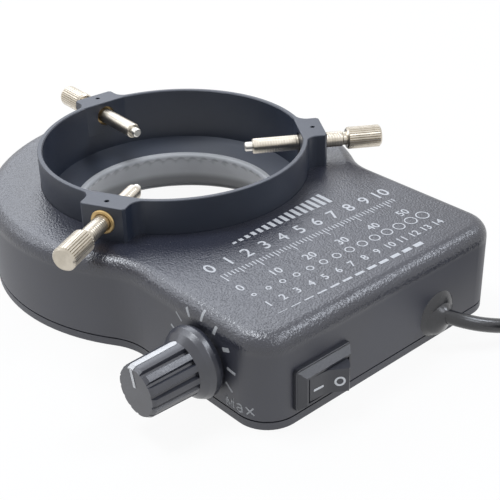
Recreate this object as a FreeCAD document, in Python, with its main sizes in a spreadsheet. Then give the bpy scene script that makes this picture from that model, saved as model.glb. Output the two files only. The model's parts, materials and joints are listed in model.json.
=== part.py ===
import FreeCAD, Part
import math
import os
import Sketcher
from FreeCAD import Placement, Rotation, Vector

# Ring light for a microscope, with a dimmer knob, a rocker switch and a power cord.
# Millimetres, +Z up. The origin is on the ring's axis in the plane of the underside.
# The control box reaches towards -Y, with the switch and the cord on its front face
# and the dimmer knob on its -X side.

doc = FreeCAD.newDocument("RingLight")
sheet = doc.addObject("Spreadsheet::Sheet", "Dimensions")
parts = []


class Size:
    """A number together with the spreadsheet expression that gives it."""

    def __init__(self, number, text):
        self.number = float(number)
        self.text = text

    def __add__(self, other):
        return Size(self.number + plain(other), "(%s + %s)" % (self.text, written(other)))

    def __radd__(self, other):
        return Size(plain(other) + self.number, "(%s + %s)" % (written(other), self.text))

    def __sub__(self, other):
        return Size(self.number - plain(other), "(%s - %s)" % (self.text, written(other)))

    def __rsub__(self, other):
        return Size(plain(other) - self.number, "(%s - %s)" % (written(other), self.text))

    def __mul__(self, other):
        return Size(self.number * plain(other), "(%s * %s)" % (self.text, written(other)))

    def __rmul__(self, other):
        return Size(plain(other) * self.number, "(%s * %s)" % (written(other), self.text))

    def __truediv__(self, other):
        return Size(self.number / plain(other), "(%s / %s)" % (self.text, written(other)))

    def __neg__(self):
        return Size(-self.number, "(0 - %s)" % self.text)


def plain(value):
    """The number of a Size or of a plain number."""
    return value.number if isinstance(value, Size) else float(value)


def written(value):
    """The expression of a Size or of a plain number."""
    return value.text if isinstance(value, Size) else "(%.6f)" % value


def cell(alias, number):
    """Add a driving dimension to the sheet."""
    cell.row += 1
    sheet.set("A%d" % cell.row, alias)
    sheet.set("B%d" % cell.row, str(number))
    sheet.setAlias("B%d" % cell.row, alias)
    return Size(number, "Dimensions.%s" % alias)


cell.row = 0

# Housing: a round ring that runs into a box
ringRadius = cell("ringRadius", 48.0)
deckHeight = cell("deckHeight", 22.5)
frontReach = cell("frontReach", 75.0)
halfWidth = cell("halfWidth", 37.8)
cornerRadius = cell("cornerRadius", 8.0)
neckRadius = cell("neckRadius", 15.0)
edgeFillet = cell("edgeFillet", 3.7)
wall = cell("wall", 2.0)
seamHeight = cell("seamHeight", 2.2)
seamGap = cell("seamGap", 0.35)
seamInset = cell("seamInset", 0.35)
fitGap = cell("fitGap", 0.1)
pilotGap = cell("pilotGap", 0.05)
screwGap = cell("screwGap", 0.25)
wideScrewGap = cell("wideScrewGap", 0.35)
postRadius = cell("postRadius", 2.6)
postAcross = cell("postAcross", 32.6)
frontPostReach = cell("frontPostReach", 69.8)
backPostReach = cell("backPostReach", 43.5)
coverScrewShank = cell("coverScrewShank", 1.05)
coverScrewHead = cell("coverScrewHead", 2.3)
coverScrewLength = cell("coverScrewLength", 9.0)
coverScrewRecess = cell("coverScrewRecess", 0.1)
countersink = cell("countersink", 1.3)
crossWidth = cell("crossWidth", 0.6)
crossLength = cell("crossLength", 3.4)
crossDepth = cell("crossDepth", 0.9)

# Collar that takes the microscope's head
boreRadius = cell("boreRadius", 33.0)
collarRadius = cell("collarRadius", 34.3)
rimHeight = cell("rimHeight", 31.2)
boreDepth = cell("boreDepth", 14.0)
rimFillet = cell("rimFillet", 0.25)
ledgeRadius = cell("ledgeRadius", 26.8)
ledgeDrop = cell("ledgeDrop", 2.35)
ledgeEdge = cell("ledgeEdge", 0.8)
spigotDrop = cell("spigotDrop", 1.3)
bossReach = cell("bossReach", 38.9)
bossWidth = cell("bossWidth", 11.5)
bossFillet = cell("bossFillet", 3.0)
bossBevel = cell("bossBevel", 0.6)
pinRadius = cell("pinRadius", 0.6)
pinReach = cell("pinReach", 36.2)
pinDepth = cell("pinDepth", 1.0)
bossScrewSpread = cell("bossScrewSpread", 3.9)
bossScrewReach = cell("bossScrewReach", 36.3)
collarScrewShank = cell("collarScrewShank", 0.8)
collarScrewHead = cell("collarScrewHead", 1.7)
collarScrewHeadHeight = cell("collarScrewHeadHeight", 1.2)
collarScrewLength = cell("collarScrewLength", 6.6)
collarPilot = cell("collarPilot", 6.0)
screwPoint = cell("screwPoint", 0.4)

# Thumbscrews and their brass inserts
screwHeight = cell("screwHeight", 27.2)
insertRadius = cell("insertRadius", 2.7)
insertBore = cell("insertBore", 2.03)
insertFlangeRadius = cell("insertFlangeRadius", 3.0)
insertFlange = cell("insertFlange", 0.35)
insertSetback = cell("insertSetback", 0.6)
insertBevel = cell("insertBevel", 0.2)
shankRadius = cell("shankRadius", 1.97)
shankLength = cell("shankLength", 24.9)
headRadius = cell("headRadius", 2.9)
headLength = cell("headLength", 9.1)
headBevel = cell("headBevel", 0.4)
endBevel = cell("endBevel", 0.5)
shankBevel = cell("shankBevel", 0.25)
shankNeck = cell("shankNeck", 1.0)
knurlDepth = cell("knurlDepth", 0.22)
knurlCount = 30
tipRadius = cell("tipRadius", 1.2)
tipLength = cell("tipLength", 1.9)
spigotRadius = cell("spigotRadius", 0.9)
spigotLength = cell("spigotLength", 4.0)
spigotGap = cell("spigotGap", 0.05)
spigotEndGap = cell("spigotEndGap", 0.3)
runningGap = cell("runningGap", 0.06)
collarTurns = (-153.1, -33.1, 86.9)
screwNames = ("left", "right", "back")
screwReaches = (cell("leftReach", 57.0), cell("rightReach", 54.3), cell("backReach", 52.7))

# Light: translucent cover, board and three rows of LEDs
beadReach = cell("beadReach", 25.8)
beadHeight = cell("beadHeight", 14.1)
beadRadius = cell("beadRadius", 0.9)
coverFootRadius = cell("coverFootRadius", 33.0)
coverWall = cell("coverWall", 1.3)
coverFit = cell("coverFit", 0.1)
coverFlare = cell("coverFlare", 0.6)
filterRadius = cell("filterRadius", 44.4)
filterDepth = cell("filterDepth", 1.0)
windowRadius = cell("windowRadius", 46.6)
boardInner = cell("boardInner", 29.6)
boardOuter = cell("boardOuter", 45.0)
boardHeight = cell("boardHeight", 12.6)
boardThickness = cell("boardThickness", 1.6)
ledScrewReach = cell("ledScrewReach", 43.4)
ledScrewShank = cell("ledScrewShank", 1.0)
ledScrewHead = cell("ledScrewHead", 1.6)
ledScrewHeadHeight = cell("ledScrewHeadHeight", 1.3)
ledScrewLength = cell("ledScrewLength", 6.0)
ledRadius = cell("ledRadius", 1.5)
ledLength = cell("ledLength", 4.3)
ledFlange = cell("ledFlange", 0.25)
ledFlangeHeight = cell("ledFlangeHeight", 0.6)
ledCount = 48
ledRows = {"inner": cell("innerRow", 32.9), "middle": cell("middleRow", 37.1), "outer": cell("outerRow", 41.3)}

# Dimmer: knob, potentiometer and its fixing
knobY = cell("knobY", -55.9)
knobZ = cell("knobZ", 11.05)
knobEnd = cell("knobEnd", 55.4)
knobBack = cell("knobBack", 38.6)
knobFaceRadius = cell("knobFaceRadius", 5.45)
knobTipRadius = cell("knobTipRadius", 5.9)
knobBaseRadius = cell("knobBaseRadius", 6.15)
knobRounding = cell("knobRounding", 0.8)
ribEnd = cell("ribEnd", 43.7)
skirtEdge = cell("skirtEdge", 42.3)
skirtEdgeRadius = cell("skirtEdgeRadius", 7.55)
skirtRim = cell("skirtRim", 41.1)
skirtFoot = cell("skirtFoot", 39.8)
skirtRadius = cell("skirtRadius", 8.2)
skirtBackRadius = cell("skirtBackRadius", 7.5)
skirtRounding = cell("skirtRounding", 0.5)
knobHollow = cell("knobHollow", 6.1)
hollowEnd = cell("hollowEnd", 41.0)
grooveDepth = cell("grooveDepth", 0.65)
grooveWidth = cell("grooveWidth", 2.1)
grooveFloor = cell("grooveFloor", 0.5)
grooveTop = cell("grooveTop", 0.5)
grooveCount = 12
firstGroove = 34.2
pointerTurn = 102.0
pointerWidth = cell("pointerWidth", 1.8)
pointerLine = cell("pointerLine", 0.8)
pointerLineStart = cell("pointerLineStart", 1.1)
pointerRise = cell("pointerRise", 0.1)
pointerDepth = cell("pointerDepth", 0.6)
shaftRadius = cell("shaftRadius", 3.0)
shaftCover = cell("shaftCover", 2.2)
shaftInside = cell("shaftInside", 4.0)
bushingRadius = cell("bushingRadius", 3.5)
potRadius = cell("potRadius", 8.0)
potDepth = cell("potDepth", 6.7)
nutAcross = cell("nutAcross", 10.0)
nutThickness = cell("nutThickness", 2.0)
washerRadius = cell("washerRadius", 5.6)
washerThickness = cell("washerThickness", 0.5)
potLegSpread = cell("potLegSpread", 4.0)
potLeg = (cell("potLegThickness", 1.0), cell("potLegWidth", 1.4), cell("potLegLength", 4.4))
potLegRise = cell("potLegRise", 1.5)

# Rocker switch
switchX = cell("switchX", -22.0)
switchZ = cell("switchZ", 8.55)
bezelWidth = cell("bezelWidth", 16.0)
bezelHeight = cell("bezelHeight", 10.3)
bezelEdge = cell("bezelEdge", 1.0)
bezelRise = cell("bezelRise", 2.5)
bezelCorner = cell("bezelCorner", 0.8)
bezelRounding = cell("bezelRounding", 0.2)
openingWidth = cell("openingWidth", 11.8)
openingHeight = cell("openingHeight", 6.1)
openingLip = cell("openingLip", 0.5)
rockerRadius = cell("rockerRadius", 5.75)
rockerHeight = cell("rockerHeight", 5.8)
rockerPivot = cell("rockerPivot", 75.4)
rockerValley = cell("rockerValley", 2.36)
rockerFillet = cell("rockerFillet", 5.0)
rockerBack = cell("rockerBack", 0.9)
rockerSlope = 15.0
rockerTilt = 19.0
switchBodyWidth = cell("switchBodyWidth", 13.5)
switchBodyHeight = cell("switchBodyHeight", 8.5)
switchBodyDepth = cell("switchBodyDepth", 12.0)
wellDepth = cell("wellDepth", 9.0)
bladeSpread = cell("bladeSpread", 3.6)
blade = (cell("bladeThickness", 0.8), cell("bladeLength", 6.0), cell("bladeHeight", 3.0))

# Driver board, hung from the deck
driverTop = cell("driverTop", 16.1)
driverX = cell("driverX", 11.0)
driverY = cell("driverY", -58.5)
driverWidth = cell("driverWidth", 36.0)
driverDepth = cell("driverDepth", 15.0)
driverScrewShank = cell("driverScrewShank", 0.85)
driverScrewHead = cell("driverScrewHead", 1.9)
driverScrewHeadHeight = cell("driverScrewHeadHeight", 1.3)
driverScrewLength = cell("driverScrewLength", 4.8)
driverScrewAcross = cell("driverScrewAcross", 2.6)
driverScrewAlong = cell("driverScrewAlong", 2.8)
standoffRadius = cell("standoffRadius", 2.2)
standoffPilot = cell("standoffPilot", 4.0)
ledLeadRadius = 0.6
powerLeadRadius = 0.7

# Cord, its grommet and its plug
cordRadius = cell("cordRadius", 1.7)
grommetX = cell("grommetX", 15.8)
grommetZ = cell("grommetZ", 6.4)
grommetRadius = cell("grommetRadius", 5.7)
grommetBulge = cell("grommetBulge", 2.2)
grommetNeck = cell("grommetNeck", 3.3)
grommetLip = cell("grommetLip", 1.8)
grommetLipRadius = cell("grommetLipRadius", 4.1)
grommetLipEnd = cell("grommetLipEnd", 3.5)
clampSize = (cell("clampWidth", 6.4), cell("clampDepth", 3.0), cell("clampHeight", 5.6))
clampSetback = cell("clampSetback", 1.9)
coilX = cell("coilX", 48.3)
coilY = cell("coilY", -113.4)
coilMean = cell("coilMean", 19.0)
coilSection = cell("coilSection", 10.4)
coilBottom = cell("coilBottom", 0.6)
coilBevel = cell("coilBevel", 2.0)
tieThickness = cell("tieThickness", 0.5)
tieWidth = cell("tieWidth", 3.2)
tieGap = cell("tieGap", 0.2)
tieAngle = 155.0
plugRadius = cell("plugRadius", 4.8)
plugLength = cell("plugLength", 22.0)
reliefLength = cell("reliefLength", 12.0)
reliefRadius = cell("reliefRadius", 2.2)
reliefOverlap = 1.5
reliefFlare = cell("reliefFlare", 0.8)
ribCount = 4
ribStart = 1.6
ribPitch = 2.6
ribThickness = cell("ribThickness", 1.5)
ribRadius = cell("ribRadius", 2.7)
ribGrowth = cell("ribGrowth", 0.25)
plugShoulder = cell("plugShoulder", 1.4)
plugBevel = cell("plugBevel", 0.6)
boreFloor = 0.8
barrelRadius = cell("barrelRadius", 2.75)
barrelBore = cell("barrelBore", 1.1)
barrelLength = cell("barrelLength", 9.5)
cordLength = 1200.0
doc.recompute()


# Ways of making pieces

def bind(item, name, value):
    """Give a property a number and, where there is one, the expression behind it."""
    if isinstance(value, Size):
        item.setExpression(name, value.text)
    else:
        setattr(item, name, value)


def place(item, at, turn=None):
    """Put an object at a point, with a rotation, and bind the point to the sheet."""
    item.Placement = Placement(Vector(*[plain(v) for v in at]), turn or Rotation())
    for axis, value in zip("xyz", at):
        if isinstance(value, Size):
            item.setExpression("Placement.Base.%s" % axis, value.text)
    return item


def cylinder(radius, length, at=(0, 0, 0), along=(0, 0, 1)):
    item = doc.addObject("Part::Cylinder", "Cylinder")
    bind(item, "Radius", radius)
    bind(item, "Height", length)
    return place(item, at, Rotation(Vector(0, 0, 1), Vector(*along)))


def cone(radius, farRadius, length, at=(0, 0, 0), along=(0, 0, 1)):
    item = doc.addObject("Part::Cone", "Cone")
    bind(item, "Radius1", radius)
    bind(item, "Radius2", farRadius)
    bind(item, "Height", length)
    return place(item, at, Rotation(Vector(0, 0, 1), Vector(*along)))


def box(size, centre):
    """A box of three sizes about its centre."""
    item = doc.addObject("Part::Box", "Box")
    for name, value in zip(("Length", "Width", "Height"), size):
        bind(item, name, value)
    return place(item, [middle - value / 2 for middle, value in zip(centre, size)])


def fuse(*items):
    item = doc.addObject("Part::MultiFuse", "Fuse")
    item.Shapes = list(items)
    return item


def group(*items):
    """Several separate solids in one piece."""
    item = doc.addObject("Part::Compound", "Group")
    item.Links = list(items)
    return item


def cut(base, *tools):
    item = doc.addObject("Part::Cut", "Cut")
    item.Base = base
    item.Tool = tools[0] if len(tools) == 1 else fuse(*tools)
    return item


def part(item, label):
    """Name a finished sub-part."""
    item.Label = label
    parts.append(item)
    return item


def newBody(name):
    return doc.addObject("PartDesign::Body", name)


def newSketch(body, plane="XY_Plane", shift=0.0):
    """A sketch on one of the body's own planes, moved along the plane's normal."""
    sketch = body.newObject("Sketcher::SketchObject", "Sketch")
    support = [f for f in body.Origin.OriginFeatures if f.Role == plane][0]
    sketch.AttachmentSupport = (support, [""])
    sketch.MapMode = "FlatFace"
    if isinstance(shift, Size):
        sketch.setExpression("AttachmentOffset.Base.z", shift.text)
    else:
        sketch.AttachmentOffset = Placement(Vector(0, 0, shift), Rotation())
    return sketch


def fixPoint(sketch, index, end, point):
    """Hold one point of a sketch at its two sizes."""
    for kind, value in zip(("DistanceX", "DistanceY"), point):
        name = "%s%d_%d" % (kind, index, end)
        added = sketch.addConstraint(Sketcher.Constraint(kind, -1, 1, index, end, plain(value)))
        sketch.renameConstraint(added, name)
        if isinstance(value, Size):
            sketch.setExpression("Constraints.%s" % name, value.text)


def polygon(sketch, points):
    """A closed outline of straight lines through points that the sheet drives."""
    spots = [Vector(plain(x), plain(y), 0) for x, y in points]
    for index, spot in enumerate(spots):
        sketch.addGeometry(Part.LineSegment(spot, spots[(index + 1) % len(spots)]), False)
    for index in range(len(spots)):
        following = (index + 1) % len(spots)
        sketch.addConstraint(Sketcher.Constraint("Coincident", index, 2, following, 1))
    for index, point in enumerate(points):
        fixPoint(sketch, index, 1, point)


def circle(sketch, radius, centre=(0, 0)):
    """A circle of a size that the sheet drives."""
    spot = Vector(plain(centre[0]), plain(centre[1]), 0)
    index = sketch.addGeometry(Part.Circle(spot, Vector(0, 0, 1), plain(radius)), False)
    fixPoint(sketch, index, 3, centre)
    bound = sketch.addConstraint(Sketcher.Constraint("Radius", index, plain(radius)))
    sketch.renameConstraint(bound, "Radius%d" % index)
    if isinstance(radius, Size):
        sketch.setExpression("Constraints.Radius%d" % index, radius.text)


def pad(body, sketch, length, reverse=False):
    item = body.newObject("PartDesign::Pad", "Pad")
    item.Profile = sketch
    bind(item, "Length", length)
    item.Reversed = reverse
    return item


def pocket(body, sketch, length, reverse=False):
    """Cut a sketch out of the body, and check that something was cut."""
    doc.recompute()
    before = body.Shape.Volume
    item = body.newObject("PartDesign::Pocket", "Pocket")
    item.Profile = sketch
    bind(item, "Length", length)
    item.Reversed = reverse
    doc.recompute()
    assert body.Shape.Volume < before - 1e-3, "%s cuts nothing" % item.Name
    return item


def polar(body, feature, count, span=360):
    """Repeat a feature about the body's own Z axis, all round or over a span."""
    item = body.newObject("PartDesign::PolarPattern", "PolarPattern")
    item.Originals = [feature]
    item.Axis = ([f for f in body.Origin.OriginFeatures if f.Role == "Z_Axis"][0], [""])
    item.Angle = span
    item.Occurrences = count
    body.Tip = item
    return item


def roundEdges(body, radius, chosen, kind="PartDesign::Fillet"):
    """Fillet the edges that a test picks."""
    doc.recompute()
    base = body.Tip
    names = ["Edge%d" % (n + 1) for n, edge in enumerate(base.Shape.Edges) if chosen(edge)]
    assert names, "no edge to round"
    item = body.newObject(kind, kind.split("::")[1])
    item.Base = (base, names)
    bind(item, "Radius" if kind.endswith("Fillet") else "Size", radius)
    return item


def turned(name, profile, at=(0, 0, 0), along=(0, 0, 1)):
    """A body turned about its own Z axis from (radius, height) points, then placed."""
    body = newBody(name)
    sketch = newSketch(body, "XZ_Plane")
    polygon(sketch, profile)
    item = body.newObject("PartDesign::Revolution", "Revolution")
    item.Profile = sketch
    item.ReferenceAxis = (sketch, ["V_Axis"])
    item.Angle = 360
    return place(body, at, Rotation(Vector(0, 0, 1), Vector(*along)))


def roundedPath(points, share=0.45):
    """Straight runs joined by tangent arcs, each as large as its two runs allow."""
    spots = [Vector(*[plain(v) for v in point]) for point in points]
    edges, radii, start = [], [], spots[0]
    for before, corner, after in zip(spots, spots[1:], spots[2:]):
        back, on = (before - corner), (after - corner)
        reach = share * min(back.Length, on.Length)
        back.normalize()
        on.normalize()
        turn = math.pi - back.getAngle(on)
        radii.append(reach / math.tan(turn / 2))
        first, last = corner + back * reach, corner + on * reach
        inward = (back + on).normalize()
        centre = corner + inward * (radii[-1] / math.cos(turn / 2))
        middle = centre - inward * radii[-1]
        edges.append(Part.LineSegment(start, first).toShape())
        edges.append(Part.Arc(first, middle, last).toShape())
        start = last
    edges.append(Part.LineSegment(start, spots[-1]).toShape())
    return Part.Wire(edges), radii


def tube(points, radius, label, share=0.45):
    """A round tube along a rounded path, with a report of its radii and its volume."""
    path, radii = roundedPath(points, share)
    start, following = [Vector(*[plain(v) for v in point]) for point in points[:2]]
    section = Part.Wire([Part.makeCircle(plain(radius), start, following - start)])
    solid = path.makePipeShell([section], True, False)
    ratio = solid.Volume / (math.pi * plain(radius) ** 2 * path.Length)
    print("%s: length %.1f, radii %s, volume over section x length %.4f"
          % (label, path.Length, ["%.1f" % r for r in radii], ratio))
    return solid


def feature(shape, label):
    """A sub-part whose shape is made in code from the sheet's sizes."""
    item = doc.addObject("Part::Feature", "Made")
    item.Shape = shape
    return part(item, label)


def radial(angle):
    return (math.cos(math.radians(angle)), math.sin(math.radians(angle)), 0)


# Housing and its cover

def outline(sketch, inset=0):
    """The plan of the ring and box, moved inwards by an inset."""
    ring = ringRadius - inset
    side = halfWidth - inset
    front = frontReach - inset
    corner = cornerRadius - inset
    neck = neckRadius + inset
    r, w, f, c, n = [plain(v) for v in (ring, side, front, corner, neck)]
    neckX = w + n
    neckY = -math.sqrt((r + n) ** 2 - neckX ** 2)
    ends = math.degrees(math.atan2(neckY, neckX))
    corners = {"right": (w - c, -f + c), "left": (-w + c, -f + c)}

    def arc(x, y, radius, start, end):
        whole = Part.Circle(Vector(x, y, 0), Vector(0, 0, 1), radius)
        return Part.ArcOfCircle(whole, math.radians(start), math.radians(end))

    def line(x, y, toX, toY):
        return Part.LineSegment(Vector(x, y, 0), Vector(toX, toY, 0))

    pieces = [line(-w + c, -f, w - c, -f), arc(*corners["right"], c, 270, 360), line(w, -f + c, w, neckY),
              arc(neckX, neckY, n, 180 + ends, 180), arc(0, 0, r, ends, 180 - ends),
              arc(-neckX, neckY, n, 0, -ends), line(-w, neckY, -w, -f + c), arc(*corners["left"], c, 180, 270)]
    for piece in pieces:
        sketch.addGeometry(piece, False)
    joins = [(0, 2, 1, 1), (1, 2, 2, 1), (2, 2, 3, 2), (3, 1, 4, 1),
             (4, 2, 5, 2), (5, 1, 6, 1), (6, 2, 7, 1), (7, 2, 0, 1)]
    for join in joins:
        sketch.addConstraint(Sketcher.Constraint("Tangent", *join))
    sketch.addConstraint(Sketcher.Constraint("Coincident", 4, 3, -1, 1))
    sketch.addConstraint(Sketcher.Constraint("Horizontal", 0))
    sketch.addConstraint(Sketcher.Constraint("Vertical", 2))
    sketch.addConstraint(Sketcher.Constraint("Vertical", 6))
    driven = [("Radius", (4,), ring), ("Radius", (1,), corner), ("Radius", (7,), corner),
              ("Radius", (3,), neck), ("Radius", (5,), neck),
              ("DistanceX", (-1, 1, 2, 1), side), ("DistanceX", (6, 2, -1, 1), side),
              ("DistanceY", (0, 1, -1, 1), front)]
    for kind, where, value in driven:
        index = sketch.addConstraint(Sketcher.Constraint(kind, *where, plain(value)))
        sketch.renameConstraint(index, "Driven%d" % index)
        sketch.setExpression("Constraints.Driven%d" % index, value.text)


def posts():
    """The places of the four screw posts."""
    reaches = (frontPostReach, backPostReach)
    return [(side * postAcross, -reach) for side in (-1, 1) for reach in reaches]


def housing():
    body = newBody("HousingShell")
    sketch = newSketch(body, "XY_Plane", seamHeight)
    outline(sketch)
    pad(body, sketch, deckHeight - seamHeight)
    top = plain(deckHeight)
    roundEdges(body, edgeFillet, lambda edge: abs(edge.BoundBox.ZMin - top) < 1e-6)
    hollow = newSketch(body, "XY_Plane", seamHeight)
    outline(hollow, wall)
    pocket(body, hollow, deckHeight - seamHeight - wall, True)
    opening = newSketch(body, "XY_Plane", deckHeight)
    circle(opening, collarRadius + fitGap)
    pocket(body, opening, wall * 2)
    pillars = newSketch(body, "XY_Plane", deckHeight - wall)
    for x, y in posts():
        circle(pillars, postRadius, (x, y))
    pad(body, pillars, deckHeight - wall - seamHeight, True)
    pilots = newSketch(body, "XY_Plane", seamHeight)
    for x, y in posts():
        circle(pilots, coverScrewShank + pilotGap, (x, y))
    pocket(body, pilots, coverScrewLength, True)
    holes = [cylinder(bushingRadius + fitGap, wall * 3, (-halfWidth - 1, knobY, knobZ), (1, 0, 0)),
             cylinder(grommetNeck + fitGap, wall * 3, (grommetX, -frontReach - 1, grommetZ), (0, 1, 0)),
             box((switchBodyWidth + 2 * fitGap, wall * 3, switchBodyHeight + 2 * fitGap),
                 (switchX, -frontReach, switchZ))]
    for turn in collarTurns:
        for x, y in bossScrews(turn):
            holes.append(cylinder(collarScrewShank + wideScrewGap, wall * 2, (x, y, deckHeight - wall - 1)))
    standoffs = []
    for x, y in boardScrews():
        holes.append(cylinder(driverScrewShank + pilotGap, standoffPilot, (x, y, driverTop - fitGap)))
        standoffs.append(cylinder(standoffRadius, deckHeight - wall / 2 - driverTop, (x, y, driverTop)))
    return part(cut(fuse(body, *standoffs), *holes), "housing")


def bossScrews(turn):
    """Where the two screws from beneath enter one boss."""
    reach, spread = plain(bossScrewReach), plain(bossScrewSpread)
    (ux, uy, _), (vx, vy, _) = radial(turn), radial(turn + 90)
    return [(reach * ux + side * spread * vx, reach * uy + side * spread * vy) for side in (-1, 1)]


def bottomCover():
    """The underside's plate: its upper step is set in, which leaves a narrow groove under the housing."""
    body = newBody("BottomPlate")
    sketch = newSketch(body)
    outline(sketch)
    circle(sketch, filterRadius)
    pad(body, sketch, seamHeight - seamGap)
    step = newSketch(body, "XY_Plane", seamHeight - seamGap)
    outline(step, seamInset)
    circle(step, filterRadius)
    pad(body, step, seamGap)
    rebate = newSketch(body, "XY_Plane", seamHeight)
    circle(rebate, windowRadius + fitGap)
    pocket(body, rebate, seamHeight - filterDepth)
    holes = []
    sink = coverScrewShank + screwGap
    for x, y in posts():
        holes.append(cylinder(sink, seamHeight * 2, (x, y, -seamHeight / 2)))
        holes.append(cone(coverScrewHead + 0.8 * screwGap, sink, countersink, (x, y, 0)))
    return part(cut(body, *holes), "bottom_cover")


def coverScrews():
    """Countersunk screws with a cross recess, a little below the underside."""
    head, shank, low = coverScrewHead, coverScrewShank, coverScrewRecess
    end = coverScrewLength + 1.0
    for number, (x, y) in enumerate(posts(), 1):
        slots = [box((wide, deep, crossDepth * 2), (x, y, 0))
                 for wide, deep in ((crossWidth, crossLength), (crossLength, crossWidth))]
        profile = [(0, low), (head, low), (shank, low + countersink), (shank, end), (0, end + screwPoint)]
        part(cut(turned("CoverScrew", profile, (x, y, 0)), *slots), "cover_screw_%d" % number)


# Collar

def mountingCollar():
    body = newBody("Collar")
    sketch = newSketch(body, "XZ_Plane")
    floor = rimHeight - boreDepth
    ledge = floor - ledgeDrop
    polygon(sketch, [(collarRadius, rimHeight), (collarRadius, floor - spigotDrop),
                     (ledgeRadius, ledge - ledgeEdge), (ledgeRadius, ledge), (boreRadius, floor),
                     (boreRadius, rimHeight - rimFillet), (boreRadius + rimFillet, rimHeight)])
    ring = body.newObject("PartDesign::Revolution", "Revolution")
    ring.Profile = sketch
    ring.ReferenceAxis = (sketch, ["V_Axis"])
    doc.recompute()
    boss = newSketch(body, "XY_Plane", deckHeight)
    bossOutline(boss)
    polar(body, pad(body, boss, rimHeight - deckHeight), 3)
    roundEdges(body, rimFillet, outsideRim)
    doc.recompute()
    seat = newSketch(body, "YZ_Plane", boreRadius - 1)
    circle(seat, insertRadius, (0, screwHeight))
    polar(body, pocket(body, seat, bossReach, True), 3)
    doc.recompute()
    pins = newSketch(body, "XY_Plane", rimHeight)
    circle(pins, pinRadius, (pinReach, 0))
    polar(body, pocket(body, pins, pinDepth), 3)
    doc.recompute()
    pilots = newSketch(body, "XY_Plane", deckHeight)
    for side in (-1, 1):
        circle(pilots, collarScrewShank + pilotGap, (bossScrewReach, side * bossScrewSpread))
    polar(body, pocket(body, pilots, collarPilot, True), 3)
    body.Placement = Placement(Vector(), Rotation(Vector(0, 0, 1), collarTurns[0]))
    return part(body, "mounting_collar")


def outsideRim(edge):
    """Whether an edge lies in the plane of the collar's rim and isn't the bore's."""
    onRim = abs(edge.BoundBox.ZMin - plain(rimHeight)) < 1e-6
    bore = plain(boreRadius + rimFillet)
    return onRim and not (isinstance(edge.Curve, Part.Circle) and abs(edge.Curve.Radius - bore) < 1e-6)


def bossOutline(sketch):
    """A boss's plan: a block with concave fillets that run into the collar."""
    half, reach, blend = plain(bossWidth) / 2, plain(bossReach), plain(bossFillet)
    ring, inner, bevel = plain(collarRadius), plain(boreRadius) + 0.4, plain(bossBevel)
    blendY = half + blend
    blendX = math.sqrt((ring + blend) ** 2 - blendY ** 2)
    meet = Vector(blendX, blendY, 0) * (ring / (ring + blend))
    middle = Vector(blendX, blendY, 0) + Vector(-0.8, -0.6, 0) * blend
    upper = [Vector(reach, half - bevel, 0), Vector(reach - bevel, half, 0), Vector(blendX, half, 0)]
    flip = [Vector(v.x, -v.y, 0) for v in (*upper, meet, middle)]
    innerX = math.sqrt(inner ** 2 - meet.y ** 2)
    lines = [(upper[0], upper[1]), (upper[1], upper[2]), (meet, Vector(innerX, meet.y, 0)),
             (Vector(innerX, meet.y, 0), Vector(innerX, -meet.y, 0)), (Vector(innerX, -meet.y, 0), flip[3]),
             (flip[2], flip[1]), (flip[1], flip[0]), (flip[0], upper[0])]
    for start, end in lines:
        sketch.addGeometry(Part.LineSegment(start, end), False)
    centre = Vector(blendX, blendY, 0)
    start = math.atan2(meet.y - blendY, meet.x - blendX)
    for side in (1, -1):
        whole = Part.Circle(Vector(centre.x, side * centre.y, 0), Vector(0, 0, 1), blend)
        span = (start, -math.pi / 2) if side == 1 else (math.pi / 2, -start)
        sketch.addGeometry(Part.ArcOfCircle(whole, *span), False)


def collarHardware():
    """On each boss a flanged brass insert, a thumbscrew and two screws from beneath."""
    inner, flange, edge = boreRadius + insertSetback, bossReach + insertFlange, insertBevel
    base = deckHeight - wall
    head, shank = collarScrewHead, collarScrewShank
    for turn, name, reach in zip(collarTurns, screwNames, screwReaches):
        out = radial(turn)
        insert = turned("Insert", [(insertBore, inner), (insertRadius, inner), (insertRadius, bossReach),
                                   (insertFlangeRadius, bossReach), (insertFlangeRadius, flange - edge),
                                   (insertFlangeRadius - edge, flange), (insertBore + edge, flange),
                                   (insertBore, flange - edge)], (0, 0, screwHeight), out)
        part(insert, "screw_insert_%s" % name)
        thumbscrew(name, reach, out)
        for number, (x, y) in enumerate(bossScrews(turn), 1):
            low, high = base - collarScrewHeadHeight, base + collarScrewLength
            profile = [(0, low), (head, low), (head, base), (shank, base), (shank, high), (0, high + screwPoint)]
            part(turned("CollarScrew", profile, (x, y, 0)), "collar_screw_%s_%d" % (name, number))


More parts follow.
